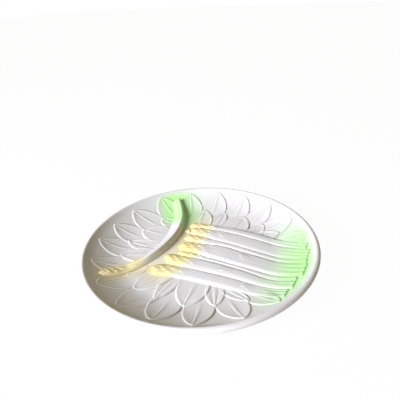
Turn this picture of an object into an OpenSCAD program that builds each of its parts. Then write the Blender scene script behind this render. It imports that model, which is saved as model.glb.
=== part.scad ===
// Asparagus plate in glazed earthenware: a round coupe plate with two rows of raised
// leaves, a curved stalk that parts off the sauce well, and a bundle of spears.
// The origin is on the table under the plate's middle, +Z is up, and +Y points from the
// spears to the sauce well.

/* [Plate] */
// Diameter over the rolled rim
plate_d = 245; // [230:1:260]
// Height of the floor's top above the table
floor_z = 8.5; // [7.5:0.1:11]
// Thickness of the body, measured upright
body_t = 5; // [4:0.1:6]
// Radius of the flat floor, where the wall starts
floor_r = 76; // [70:1:82]
// Rise of the wall from the floor to the rim
wall_rise = 12.8; // [10:0.1:16]
// How late the wall steepens, 1 being a cone
wall_curve = 1.8; // [1.3:0.1:2.4]
// Radius of the rolled rim's round section
rim_r = 3.2; // [2.6:0.1:4]
// How far the roll's middle lies under the top of the wall
rim_drop = 0.8; // [0.2:0.1:1.4]

/* [Foot ring] */
// Outer radius of the foot ring at its root
foot_r = 67; // [60:1:72]
// Width of the foot ring at its root
foot_w = 7; // [6:0.1:9]
// Width of the flat face that it stands on
foot_face_w = 4; // [3:0.1:5]

/* [Leaves] */
// Relief of the outer row at its tips
outer_relief = 1.5; // [1:0.1:2]
// Relief of the inner row at its tips
inner_relief = 2.3; // [1.6:0.1:2.8]
// Slope of an inner leaf's top towards its root, in degrees
inner_slope = 3.5; // [2.5:0.1:4]
// Width of a midrib at the leaf's root
midrib_w = 3.2; // [2.4:0.1:4]
// Width of the line drawn along each side of a midrib
line_w = 0.8; // [0.5:0.1:1]
// Depth of that line
line_depth = 0.4; // [0.2:0.05:0.5]
// Seam between pieces that lie side by side
seam = 0.2; // [0.1:0.05:0.4]

/* [Sauce divider] */
// Height of the divider stalk above the floor
divider_h = 7.5; // [5:0.1:10]
// Its width as a share of the plate's diameter
divider_w_share = 0.0595; // [0.05:0.001:0.065]
// Distance from the plate's middle to the stalk's lowest point, as a share of the diameter
divider_y_share = 0.1665; // [0.16:0.0005:0.18]
// Half of the stalk's span across the plate, as a share of the diameter
divider_span_share = 0.312; // [0.29:0.001:0.325]
// How far its ends lie behind its lowest point, as a share of the diameter
divider_bow_share = 0.125; // [0.11:0.001:0.14]

/* [Spears] */
// Height of the thickest spear above the floor
spear_h = 5.6; // [4:0.1:8]
// Its width as a share of the plate's diameter
spear_w_share = 0.0875; // [0.078:0.0005:0.0875]
// Height of the upright edge where a stalk leaves the floor
edge_h = 0.5; // [0.3:0.1:0.8]
// Gap under a stalk or a leaf, which the slip fills
seat = 0.2; // [0.1:0.01:0.3]

/* [Hidden] */
SPEAR_NAMES = ["far_left", "left", "thin", "middle", "slim", "right", "far_right", "bud"];
$fn = 180;

plate_r = plate_d / 2;
spear_w = plate_d * spear_w_share;
divider_w = plate_d * divider_w_share;
divider_y = plate_d * divider_y_share;
divider_span = plate_d * divider_span_share;
divider_bow = plate_d * divider_bow_share;
divider_bend_r = (pow(divider_span, 2) + pow(divider_bow, 2)) / (2 * divider_bow);
foot_h = floor_z - body_t;
plate_top = floor_z + wall_rise + rim_r;
glaze_white = "#f6f1ec";
glaze_leaf = "#ece7e0";
bud_yellow = "#f2dd9c";
stalk_green = "#bfe6b4";

// The wall's curve: radii from the floor to the rim, and the height over the floor
rim_in_r = plate_r - 2 * rim_r;
wall_steps = 10;
bowl = concat([[0, floor_z]],
    [for (i = [0:wall_steps]) let (rise_share = i / wall_steps)
        [floor_r + (rim_in_r - floor_r) * rise_share,
         floor_z + wall_rise * pow(rise_share, wall_curve)]]);

function ground(place) = lookup(norm(place), bowl);
function reversed(list) = [for (i = [len(list) - 1:-1:0]) list[i]];
function between(a, b, share) = a + (b - a) * share;

// Leaves, clockwise from the lower left. Each row gives the tip's place as shares of the
// plate's radius, the leaf's direction in degrees, and its length and half width as shares.
outer_leaf_shares = [
    [-0.400, -0.833, 250, 0.33, 0.098],
    [-0.643, -0.668, 225, 0.38, 0.118],
    [-0.834, -0.378, 197, 0.38, 0.115],
    [-0.898, -0.090, 186, 0.38, 0.124],
    [-0.870,  0.215, 162, 0.38, 0.118],
    [-0.743,  0.506, 148, 0.37, 0.122],
    [-0.531,  0.735, 116, 0.37, 0.118],
    [-0.269,  0.865, 103, 0.39, 0.124],
    [-0.008,  0.898,  90, 0.37, 0.120],
    [ 0.269,  0.873,  82, 0.38, 0.131],
    [ 0.575,  0.745,  60, 0.37, 0.122],
    [ 0.776,  0.498,  29, 0.37, 0.119],
    [ 0.898,  0.229,  10, 0.37, 0.129],
    [ 0.931, -0.049,   2, 0.38, 0.112],
    [ 0.876, -0.330, -17, 0.37, 0.108],
    [ 0.720, -0.600, -42, 0.37, 0.116],
    [ 0.489, -0.803, -66, 0.27, 0.090]];
inner_leaf_shares = [
    [-0.402, -0.610, 253, 0.28, 0.060],
    [-0.545, -0.400, 204, 0.28, 0.075],
    [-0.637, -0.192, 188, 0.36, 0.124],
    [-0.653,  0.045, 176, 0.33, 0.068],
    [-0.620,  0.255, 156, 0.36, 0.108],
    [-0.514,  0.400, 155, 0.19, 0.045],
    [-0.310,  0.608, 119, 0.28, 0.102],
    [-0.110,  0.669,  95, 0.29, 0.086],
    [ 0.098,  0.657,  95, 0.29, 0.130],
    [ 0.335,  0.592,  84, 0.18, 0.078],
    [ 0.645,  0.269,  11, 0.34, 0.122],
    [ 0.678,  0.062,   0, 0.31, 0.078],
    [ 0.670, -0.145,  -8, 0.32, 0.135],
    [ 0.600, -0.366, -15, 0.25, 0.072],
    [ 0.510, -0.545, -62, 0.24, 0.073]];
// Stations along a leaf from tip to root, where it is widest, how bluntly it widens there
// from the tip, and how it narrows at the root
leaf_stations = [0.03, 0.1, 0.2, 0.35, 0.6, 0.8, 1];
leaf_full_share = 0.6;
leaf_tip_power = 0.7;
leaf_root_share = 0.35;
// Share of an inner leaf's length where its top starts to fall to the root
slope_from_share = 0.25;

function leaf_tip(leaf) = plate_r * [leaf[0], leaf[1]];
function leaf_width(share) = share < leaf_full_share
    ? pow(1 - pow(1 - share / leaf_full_share, 2), leaf_tip_power)
    : 1 - leaf_root_share * pow((share - leaf_full_share) / (1 - leaf_full_share), 2);
function leaf_side(leaf, side, grow) = let (
        along = [cos(leaf[2]), sin(leaf[2])], across = side * [along[1], -along[0]],
        length = plate_r * leaf[3], half = plate_r * leaf[4])
    [for (share = leaf_stations)
        leaf_tip(leaf) + along * (grow - length * share)
            + across * (half * leaf_width(share) + grow)];
function leaf_points(leaf, grow = 0) = let (along = [cos(leaf[2]), sin(leaf[2])])
    concat([leaf_tip(leaf) + along * grow], leaf_side(leaf, 1, grow),
        reversed(leaf_side(leaf, -1, grow)));
function midrib_line(leaf, side) = let (
        along = [cos(leaf[2]), sin(leaf[2])], across = side * [along[1], -along[0]],
        start = leaf_tip(leaf) - along * midrib_w + across * line_w / 2,
        root = leaf_tip(leaf) - along * plate_r * leaf[3] + across * midrib_w / 2)
    [start, root, root + across * line_w, start + across * line_w / 2];
function near(a, b) = norm(leaf_tip(a) - leaf_tip(b)) < plate_r * (a[3] + b[4]);

// Spears, left to right as on the plate. Each row gives the tip and the butt as shares of
// the plate's radius, the bow to the right as a share of it too, the widths at the head,
// neck, middle and butt as shares of the thickest spear, the height as a share of its
// height, the number of ribs on the butt, how much of the length is bud, and the bud's
// rows of scales.
spear_shares = [
    [[-0.339,  0.294], [-0.265, -0.849],  0.014, [0.72, 0.64, 0.62, 0.60], 0.90, 3, 0.17, 4],
    [[-0.163,  0.253], [-0.162, -0.865], -0.004, [0.65, 0.66, 0.64, 0.51], 0.88, 3, 0.17, 4],
    [[-0.075,  0.171], [-0.082, -0.873], -0.004, [0.30, 0.21, 0.20, 0.27], 0.55, 2, 0.17, 4],
    [[ 0.024,  0.216], [ 0.024, -0.906],  0.008, [0.84, 0.72, 1.00, 0.86], 1.00, 4, 0.17, 4],
    [[ 0.155,  0.233], [ 0.131, -0.890],  0.015, [0.57, 0.39, 0.32, 0.24], 0.78, 2, 0.17, 4],
    [[ 0.276,  0.233], [ 0.212, -0.882],  0.020, [0.67, 0.73, 0.90, 0.56], 0.96, 3, 0.17, 4],
    [[ 0.359,  0.302], [ 0.327, -0.841],  0.051, [0.56, 0.19, 0.33, 0.44], 0.80, 3, 0.17, 4],
    [[ 0.231,  0.280], [ 0.236,  0.214],  0.000, [0.27, 0.27, 0.27, 0.27], 0.60, 2, 0.80, 1]];
// Stations from tip to butt where those widths hold, and the share of a bud that is its
// rounded tip
width_stations = [0.09, 0.18, 0.38, 1];
round_share = 0.55;
scale_share = 0.16;
rib_share = 0.10;
rib_from_share = 0.66;
tip_h_share = 0.5;
// Share of a spear's length where its top starts to sink, and its height at the butt
sink_from_share = 0.5;
butt_h_share = 0.45;
under_shares = [1, 0.5, 0, -0.5, -1];
// How far a section's crest leans to the front of the divider
crest_share = 0.34;
divider_width_shares = [[0, 0.86], [0.1, 0.94], [0.3, 0.92], [0.5, 1], [0.8, 1.04], [1, 0.84]];
divider_bud_share = 0.14;
divider_ribs = 5;
divider_rows = 4;

// Stations of the sections along a stalk: three to each row of bud scales, then plain
function stations(bud, rows, steps) = concat(
    [for (row = [0:rows - 1]) for (part = [0.04, 0.5, 0.96]) bud * (row + part) / rows],
    [for (i = [1:steps]) between(bud, 1, i / steps)]);
function rounded(share, bud) = let (full = bud * round_share)
    share >= full ? 1 : sqrt(1 - pow(1 - share / full, 2));
// Relief of the bud's overlapping scales, each row set between the scales of the next
function bud_relief(share, turn, bud, rows) = share >= bud ? 0 : let (
        row = rows * share / bud, step = floor(row))
    scale_share * (1 - (row - step)) * abs(cos(1.5 * turn + 90 * (step % 2)));
function butt_relief(share, turn, ribs) = share <= rib_from_share ? 0
    : -rib_share * (share - rib_from_share) / (1 - rib_from_share)
        * (1 + cos(2 * ribs * turn)) / 2;

// One section of a stalk that lies on the floor: the domed top, then the flat underside
function section(middle, across, half, height, share, crest, ribs, bud, rows) = concat(
    [for (i = [0:4 * ribs + 4]) let (
            turn = 180 * i / (4 * ribs + 4),
            relief = 1 + bud_relief(share, turn, bud, rows) + butt_relief(share, turn, ribs),
            place = middle - across * half * (cos(turn) + crest * pow(sin(turn), 2)))
        [place[0], place[1], ground(place) + seat + edge_h
            + (height - edge_h) * pow(sin(turn), 0.85) * relief]],
    [for (u = under_shares) let (place = middle + across * half * u)
        [place[0], place[1], ground(place) + seat]]);

// The middle of a section, which its flat end is fanned from
function end_middle(ring) = [for (point = ring) 1] * ring / len(ring);

// A solid from equal sections, with flat ends
module swept(sections) {
    around = len(sections[0]);
    last = len(sections) - 1;
    first_middle = around * len(sections);
    polyhedron(
        points = concat([for (ring = sections) for (point = ring) point],
            [end_middle(sections[0]), end_middle(sections[last])]),
        faces = concat(
            [for (j = [0:around - 1]) [first_middle, j, (j + 1) % around]],
            [for (j = [0:around - 1])
                [first_middle + 1, last * around + (j + 1) % around, last * around + j]],
            [for (i = [0:last - 1]) for (j = [0:around - 1]) let (
                    a = i * around + j, b = i * around + (j + 1) % around)
                [b, a, a + around]],
            [for (i = [0:last - 1]) for (j = [0:around - 1]) let (
                    a = i * around + j, b = i * around + (j + 1) % around)
                [b, a + around, b + around]]));
}

function spear_stations(spear) = stations(spear[6], spear[7], spear[7] > 1 ? 14 : 1);
function spear_half(spear, share) = spear_w / 2 * rounded(share, spear[6])
    * lookup(share, [for (i = [0:3]) [width_stations[i], spear[3][i]]]);
function spear_middle(spear, share) = plate_r
    * (between(spear[0], spear[1], share) + [spear[2] * sin(180 * share), 0]);
function spear_edge(spear, side, grow) = [for (share = spear_stations(spear))
    spear_middle(spear, share) + [side * (spear_half(spear, share) + grow), 0]];

// A spear's height along its length: it rises behind the tip and sinks to the butt
function spear_height(spear, share) = spear_h * spear[4]
    * between(tip_h_share, 1, rounded(share, spear[6]))
    * between(1, butt_h_share,
        pow(max(share - sink_from_share, 0) / (1 - sink_from_share), 2));

module spear(spear) {
    swept([for (share = spear_stations(spear))
        section(spear_middle(spear, share), [1, 0], spear_half(spear, share),
            spear_height(spear, share), share, 0, spear[5], spear[6], spear[7])]);
}

// The bundle's whole footprint, from the far left spear's edge to the far right one's
module bundle_footprint() {
    polygon(concat(spear_edge(spear_shares[0], -1, seam),
        reversed(spear_edge(spear_shares[6], 1, seam))));
}

divider_turn = asin(divider_span / divider_bend_r);
function divider_way(share) = let (turn = between(-divider_turn, divider_turn, share))
    [sin(turn), -cos(turn)];
function divider_middle(share) =
    [0, divider_y + divider_bend_r] + divider_bend_r * divider_way(share);
function divider_half(share) = divider_w / 2 * rounded(share, divider_bud_share)
    * lookup(share, divider_width_shares);
divider_stations = stations(divider_bud_share, divider_rows, 20);

module divider_footprint() {
    polygon(concat(
        [for (share = divider_stations)
            divider_middle(share) + divider_way(share) * (divider_half(share) + seam)],
        reversed([for (share = divider_stations)
            divider_middle(share) - divider_way(share) * (divider_half(share) + seam)])));
}

// All that lies higher than the bowl by a relief
module above_bowl(relief) {
    rotate_extrude() polygon(concat([for (point = bowl) point + [0, relief]],
        [[rim_in_r, plate_top], [0, plate_top]]));
}

// All that lies above a leaf's top, which falls towards the root of an inner leaf
module above_leaf(leaf, relief, slope) {
    above_bowl(relief);
    if (slope > 0) {
        start = leaf_tip(leaf)
            - [cos(leaf[2]), sin(leaf[2])] * plate_r * leaf[3] * slope_from_share;
        translate([start[0], start[1], ground(start) + relief]) rotate([0, -slope, leaf[2]])
            translate([-plate_r, -plate_r, 0]) cube([2 * plate_r, 2 * plate_r, plate_top]);
    }
}

// A leaf that lies on the bowl, without its children's footprints and the two lines that
// are drawn along its midrib
module relief_leaf(leaf, relief, slope = 0) {
    difference() {
        intersection() {
            linear_extrude(plate_top) difference() {
                polygon(leaf_points(leaf));
                children();
            }
            above_bowl(seat);
        }
        above_leaf(leaf, relief, slope);
        intersection() {
            linear_extrude(plate_top) {
                polygon(midrib_line(leaf, 1));
                polygon(midrib_line(leaf, -1));
            }
            translate([0, 0, -line_depth]) above_leaf(leaf, relief, slope);
        }
    }
}

// Turned and jiggered body: floor, curved wall, rolled rim and foot ring in one piece
module plate_body() {
    foot_taper = (foot_w - foot_face_w) / 2;
    rim_middle = [plate_r - rim_r, floor_z + wall_rise - rim_drop];
    color(glaze_white) {
        rotate_extrude()
            polygon(concat(bowl, [rim_middle],
                reversed([for (point = bowl) if (point[0] >= floor_r) point - [0, body_t]]),
                [[foot_r, foot_h], [foot_r - foot_taper, 0],
                 [foot_r - foot_taper - foot_face_w, 0], [foot_r - foot_w, foot_h],
                 [0, foot_h]]));
        rotate_extrude() translate(rim_middle) circle(rim_r);
    }
}

module sauce_divider() {
    color(stalk_green) swept([for (share = divider_stations)
        section(divider_middle(share), -divider_way(share), divider_half(share),
            divider_h * between(tip_h_share, 1, rounded(share, divider_bud_share)),
            share, crest_share, divider_ribs, divider_bud_share, divider_rows)]);
}

// An outer leaf tucks under its next neighbour and under the inner row
module outer_leaf(i) {
    leaf = outer_leaf_shares[i];
    color(glaze_leaf) relief_leaf(leaf, outer_relief) {
        if (i < 16) polygon(leaf_points(outer_leaf_shares[i + 1], seam));
        for (other = inner_leaf_shares) if (near(leaf, other))
            polygon(leaf_points(other, seam));
        divider_footprint();
        bundle_footprint();
    }
}

// Every second inner leaf is a small one that shows between two large ones
module inner_leaf(i) {
    leaf = inner_leaf_shares[i];
    color(glaze_leaf) relief_leaf(leaf, inner_relief, inner_slope) {
        if (i % 2 == 1) {
            polygon(leaf_points(inner_leaf_shares[i - 1], seam));
            polygon(leaf_points(inner_leaf_shares[i + 1], seam));
        }
        divider_footprint();
        bundle_footprint();
    }
}

plate_body();
sauce_divider();
for (i = [0:7])
    color(bud_yellow) spear(spear_shares[i]);
for (i = [0:16])
    outer_leaf(i);
for (i = [0:14])
    inner_leaf(i);
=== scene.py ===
"""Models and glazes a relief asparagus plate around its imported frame.

Lengths are in millimetres until a mesh is placed, and places are on the plate's plan: x to
the right, y from the spears to the sauce well, z up from the table.
"""

import logging
import math
from dataclasses import dataclass, field
from enum import Enum

import bpy
import numpy as np
from mathutils import Matrix, Vector


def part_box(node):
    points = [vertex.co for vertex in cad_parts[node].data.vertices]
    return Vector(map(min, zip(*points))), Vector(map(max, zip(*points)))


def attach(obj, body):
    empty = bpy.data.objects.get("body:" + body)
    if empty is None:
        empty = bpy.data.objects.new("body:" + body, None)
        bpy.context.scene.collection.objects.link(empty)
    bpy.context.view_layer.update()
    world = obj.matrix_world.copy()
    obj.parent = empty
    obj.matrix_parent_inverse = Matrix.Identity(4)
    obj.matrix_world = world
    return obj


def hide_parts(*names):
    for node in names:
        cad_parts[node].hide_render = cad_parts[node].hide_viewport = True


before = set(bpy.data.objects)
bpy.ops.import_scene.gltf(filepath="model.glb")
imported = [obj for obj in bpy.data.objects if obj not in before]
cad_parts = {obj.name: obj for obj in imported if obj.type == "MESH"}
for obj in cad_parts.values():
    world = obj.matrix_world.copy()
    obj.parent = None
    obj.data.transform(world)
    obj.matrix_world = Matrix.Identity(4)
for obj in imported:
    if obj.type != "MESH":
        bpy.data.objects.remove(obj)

MM = 0.001
ROOT = "root"
BODY = "plate_body"
# Vertex share of glaze pooled in creases and hollows, which also serves as painted shade there
POOL_AND_SHADE = "glaze_pool_and_shade"
UNDERSIDE = "underside"
BORDER_SHARE = 0.999
Array = np.ndarray
Pair = tuple[Array, Array]
Sheet = tuple[bpy.types.Object, Array, Array]
Colour = tuple[float, float, float, float]
log = logging.getLogger("asparagus_plate")


class Slot(Enum):
    """The record's material slots."""

    WHITE = "white_glaze"
    LEAF = "leaf_glaze"
    SPEAR = "tinted_spear_glaze"
    STALK = "tinted_stalk_glaze"


def ease(share: Array) -> Array:
    """Smooth step from 0 to 1."""
    share = np.clip(share, 0, 1)
    return share * share * (3 - 2 * share)


def bump_at(gap: Array, width: float) -> Array:
    """A soft bump of height 1 where gap is 0, about width wide."""
    return np.exp(-((gap / width) ** 2))


def signed_distance(places: Array, outline: Array) -> Array:
    """Distance of each place from a closed outline, positive inside it.

    Args:
        places: n x 2 places on the plan.
        outline: m x 2 corners in order.

    Returns:
        n distances.
    """
    after = np.roll(outline, -1, 0)
    step = after - outline
    off = places[:, None, :] - outline[None]
    along = np.clip((off * step).sum(-1) / (step**2).sum(-1), 0, 1)
    far = np.sqrt(((off - along[..., None] * step) ** 2).sum(-1)).min(1)
    y = places[:, None, 1]
    crosses = (outline[None, :, 1] > y) != (after[None, :, 1] > y)
    rise = np.where(step[:, 1] == 0, 1, step[:, 1])
    at_x = outline[None, :, 0] + (y - outline[None, :, 1]) / rise * step[None, :, 0]
    inside = (crosses & (places[:, None, 0] < at_x)).sum(1) % 2 == 1
    return np.where(inside, far, -far)


def smooth_max(low: Array, high: Array, radius: float) -> Pair:
    """The higher of two surfaces with a fillet where they meet.

    Args:
        low: n heights of the surface underneath.
        high: n heights of the one laid over it.
        radius: the fillet's reach in height.

    Returns:
        The heights, and how much each place lies in the fillet, 1 at its middle.
    """
    share = np.clip(0.5 + 0.5 * (high - low) / radius, 0, 1)
    fillet = share * (1 - share)
    return low + (high - low) * share + radius * fillet, 4 * fillet


def curve_between(start: tuple, start_slope: float, end: tuple, end_slope: float,
                  steps: int) -> list[tuple[float, float]]:
    """Points of a profile curve that leaves start and reaches end at their slopes.

    Args:
        start: its first point, as a radius and a height.
        start_slope: its slope there.
        end: its last point.
        end_slope: its slope there.
        steps: number of steps in it.

    Returns:
        The curve's points.
    """
    (r0, z0), (r1, z1) = start, end
    corner_r = (z1 - z0 + start_slope * r0 - end_slope * r1) / (start_slope - end_slope)
    corner_z = z0 + start_slope * (corner_r - r0)
    return bent([start, (corner_r, corner_z), end], steps)


def bent(corners: list[tuple], steps: int) -> list[tuple[float, float]]:
    """Points of a curve from the first to the third of three corners, drawn to the second.

    Args:
        corners: the three corners.
        steps: number of steps in it.

    Returns:
        The curve's points.
    """
    a, b, c = (np.array(corner) for corner in corners)
    shares = [i / steps for i in range(steps + 1)]
    return [tuple((1 - s) ** 2 * a + 2 * s * (1 - s) * b + s * s * c) for s in shares]


def rounded_corners(corners: list[tuple], cuts: list[float], steps: int = 8) -> list[tuple]:
    """A profile with each inner corner rounded over its cut length on either side.

    Args:
        corners: the profile's corners.
        cuts: each inner corner's cut length.
        steps: number of steps in each rounding.

    Returns:
        The profile's points.
    """
    points = [corners[0]]
    for before, corner, after, cut in zip(corners, corners[1:], corners[2:], cuts):
        here = np.array(corner, float)
        ends = []
        for other in (before, after):
            way = np.array(other, float) - here
            ends.append(tuple(here + way / np.linalg.norm(way) * cut))
        points += bent([ends[0], corner, ends[1]], steps)
    return points + [corners[-1]]


def only(piece: bpy.types.Object) -> None:
    """Selects one piece alone and makes it the active one.

    Args:
        piece: the piece.
    """
    bpy.ops.object.select_all(action="DESELECT")
    piece.select_set(True)
    bpy.context.view_layer.objects.active = piece


def read_places(piece: bpy.types.Object) -> Array:
    """The piece's vertices as an n x 3 array, in metres.

    Args:
        piece: a mesh piece.

    Returns:
        n x 3 places.
    """
    places = np.empty(len(piece.data.vertices) * 3)
    piece.data.vertices.foreach_get("co", places)
    return places.reshape(-1, 3)


def write_places(piece: bpy.types.Object, places: Array) -> None:
    """Moves the piece's vertices to places, in metres."""
    piece.data.vertices.foreach_set("co", places.ravel())
    piece.data.update()


def add_object(name: str, data: bpy.types.ID) -> bpy.types.Object:
    """Adds an object with its data to the scene.

    Args:
        name: the object's name.
        data: its mesh, lamp or camera.

    Returns:
        The object.
    """
    thing = bpy.data.objects.new(name, data)
    bpy.context.scene.collection.objects.link(thing)
    return thing


def add_grid(name: str, across: int, along: int) -> tuple[bpy.types.Object, Array]:
    """Adds a flat grid to be shaped into a relief.

    Args:
        name: the piece's name.
        across: number of cells across it.
        along: number of cells along it.

    Returns:
        The piece, and each vertex's shares across and along it, from -1 to 1.
    """
    bpy.ops.object.select_all(action="DESELECT")
    bpy.ops.mesh.primitive_grid_add(x_subdivisions=across, y_subdivisions=along, size=2)
    piece = bpy.context.object
    piece.name = piece.data.name = name
    return piece, read_places(piece)[:, :2]


def on_border(shares: Array) -> Array:
    """Which vertices of a grid lie on its border."""
    return np.abs(shares).max(1) > BORDER_SHARE


def close_under(piece: bpy.types.Object, depth: float) -> None:
    """Extrudes a relief's open sheet down into the body and closes it.

    Args:
        piece: the sheet.
        depth: how far down it goes.
    """
    only(piece)
    bpy.ops.object.mode_set(mode="EDIT")
    bpy.ops.mesh.select_all(action="SELECT")
    bpy.ops.mesh.extrude_region_move(TRANSFORM_OT_translate={"value": (0, 0, -depth * MM)})
    bpy.ops.mesh.select_all(action="SELECT")
    bpy.ops.mesh.normals_make_consistent(inside=False)
    bpy.ops.object.mode_set(mode="OBJECT")
    bpy.ops.object.shade_smooth()


def paint(piece: bpy.types.Object, name: str, shares: Array) -> None:
    """Stores a share from 0 to 1 at each vertex, such as how deep the glaze pools and how much
    painted shade a crease gets.
    """
    layer = piece.data.attributes.new(name, "FLOAT", "POINT")
    layer.data.foreach_set("value", np.clip(shares, 0, 1).astype(np.float32))


@dataclass
class Coupe:
    """The turned body: flat floor, curved wall, rolled rim and foot ring."""

    FLOOR_SHARES = (0, 0.15, 0.3, 0.45, 0.6, 0.75, 0.9)

    radius: float
    rim_top: float
    floor_z: float = 8.5
    floor_r: float = 76
    wall_rise: float = 12.8
    wall_curve: float = 1.8
    body_t: float = 5
    rim_r: float = 3.2
    roll_from: float = 130
    roll_to: float = -80
    lip_w: float = 7
    back_w: float = 1
    foot_r: float = 67
    foot_w: float = 7
    foot_face_w: float = 4
    foot_fillet: float = 1.8
    foot_round: float = 0.7
    wall_steps: int = 40
    lip_steps: int = 10
    roll_steps: int = 44
    back_steps: int = 8
    under_steps: int = 30
    segments: int = 360
    weld: float = 0.005

    @property
    def wall_end_r(self) -> float:
        """Radius where the wall meets the roll."""
        return self.radius - 2 * self.rim_r

    def wall(self, radius: "Array | float") -> Array:
        """Height of the inside at a radius."""
        share = np.maximum(radius - self.floor_r, 0) / (self.wall_end_r - self.floor_r)
        return self.floor_z + self.wall_rise * share**self.wall_curve

    def wall_slope(self, radius: float) -> float:
        """Slope of the inside at a radius."""
        span = self.wall_end_r - self.floor_r
        return (self.wall_rise * self.wall_curve / span
                * ((radius - self.floor_r) / span) ** (self.wall_curve - 1))

    def ground(self, places: Array) -> Array:
        """Height of the inside at places on the plan."""
        return self.wall(np.hypot(places[:, 0], places[:, 1]))

    def wall_point(self, radius: float, depth: float = 0) -> tuple[float, float]:
        """The section's point at a radius, at a depth below the inside."""
        return radius, float(self.wall(radius)) - depth

    def on_roll(self, degrees: float) -> tuple[float, float]:
        """The point of the roll's round section at an angle from outwards."""
        turn = math.radians(degrees)
        return (self.radius - self.rim_r + self.rim_r * math.cos(turn),
                self.rim_top - self.rim_r + self.rim_r * math.sin(turn))

    def profile(self) -> list[tuple[float, float]]:
        """The body's section from the middle of the floor, over the rim, to the underside.

        Returns:
            Its points, as radii and heights.
        """
        meet_r, under_r = self.wall_end_r - self.lip_w, self.wall_end_r - self.back_w
        floor = [(self.floor_r * share, self.floor_z) for share in self.FLOOR_SHARES]
        wall = [self.wall_point(r) for r in np.linspace(self.floor_r, meet_r, self.wall_steps)]
        lip_slope = 1 / math.tan(math.radians(180 - self.roll_from))
        lip = curve_between(wall.pop(), self.wall_slope(meet_r), self.on_roll(self.roll_from),
                            lip_slope, self.lip_steps)
        turns = np.linspace(self.roll_from, self.roll_to, self.roll_steps)[1:-1]
        roll = [self.on_roll(degrees) for degrees in turns]
        back_slope = math.tan(math.radians(90 + self.roll_to))
        back = curve_between(self.on_roll(self.roll_to), back_slope,
                             self.wall_point(under_r, self.body_t), self.wall_slope(under_r),
                             self.back_steps)[:-1]
        outside = [self.wall_point(r, self.body_t)
                   for r in np.linspace(under_r, self.floor_r, self.under_steps)]
        return floor + wall + lip + roll + back + outside + self.foot()

    def foot(self) -> list[tuple[float, float]]:
        """The underside with its foot ring, from the wall to the middle.

        Returns:
            Its points, as radii and heights.
        """
        root_z = self.floor_z - self.body_t
        taper = (self.foot_w - self.foot_face_w) / 2
        corners = [(self.floor_r, root_z), (self.foot_r, root_z), (self.foot_r - taper, 0),
                   (self.foot_r - self.foot_w + taper, 0), (self.foot_r - self.foot_w, root_z),
                   (0, root_z)]
        cuts = [self.foot_fillet, self.foot_round, self.foot_round, self.foot_fillet]
        return rounded_corners(corners, cuts)[1:]

    def build(self, name: str) -> bpy.types.Object:
        """Spins the section into the body.

        Args:
            name: the piece's name.

        Returns:
            The closed body.
        """
        points = self.profile()
        mesh = bpy.data.meshes.new(name)
        mesh.from_pydata([(r * MM, 0, z * MM) for r, z in points],
                         [(i, i + 1) for i in range(len(points) - 1)], [])
        body = add_object(name, mesh)
        only(body)
        bpy.ops.object.mode_set(mode="EDIT")
        bpy.ops.mesh.select_all(action="SELECT")
        bpy.ops.mesh.spin(steps=self.segments, angle=2 * math.pi, center=(0, 0, 0), axis=(0, 0, 1))
        bpy.ops.mesh.select_all(action="SELECT")
        bpy.ops.mesh.remove_doubles(threshold=self.weld * MM)
        bpy.ops.mesh.normals_make_consistent(inside=False)
        bpy.ops.object.mode_set(mode="OBJECT")
        bpy.ops.object.shade_smooth()
        places = read_places(body) / MM
        middle = self.ground(places[:, :2]) - self.body_t / 2
        paint(body, UNDERSIDE, places[:, 2] < middle)
        return body


@dataclass
class Relief:
    """A raised form that lies on the coupe and on the forms laid before it."""

    node: str
    coupe: Coupe
    depth: float = 3.2
    skirt: float = 1.5
    dive: float = 0.12
    film: float = 0.03

    def reach(self) -> Pair:
        """Lowest and highest corner of the form on the plan."""
        outline = self.outline()
        return outline.min(0) - self.skirt, outline.max(0) + self.skirt

    def outline(self) -> Array:
        """The form's edge on the plan."""
        raise NotImplementedError

    def grid(self) -> Sheet:
        """The form's flat sheet, its places on the plan, and which lie on its border."""
        raise NotImplementedError

    def raised(self, places: Array, under: Array) -> Pair:
        """Heights with this form laid over those under it, and how the glaze pools there, with
        painted shade in its creases.
        """
        raise NotImplementedError

    def build(self, before: list["Relief"]) -> bpy.types.Object:
        """Shapes the form's closed piece.

        Args:
            before: the forms that were laid before this one.

        Returns:
            The piece.
        """
        piece, places, border = self.grid()
        under = laid(self.coupe, before, places)
        height, pool_and_shade = self.raised(places, under)
        height = np.where(border, np.minimum(height, under) - self.dive, height)
        write_places(piece, np.column_stack([places, height]) * MM)
        # The pooled-glaze share also carries painted shade in the form's creases
        paint(piece, POOL_AND_SHADE, pool_and_shade)
        close_under(piece, self.depth)
        return piece


def laid(coupe: Coupe, forms: list[Relief], places: Array) -> Array:
    """Height of the coupe with forms laid on it one after the other.

    Args:
        coupe: the body.
        forms: the forms, in the order in which they are laid.
        places: n x 2 places on the plan.

    Returns:
        n heights.
    """
    height = coupe.ground(places)
    low, high = places.min(0), places.max(0)
    for form in forms:
        form_low, form_high = form.reach()
        if np.any(form_low > high) or np.any(form_high < low):
            continue
        near = np.all((places > form_low) & (places < form_high), axis=1)
        if near.any():
            height[near] = form.raised(places[near], height[near])[0]
    return height


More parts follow.
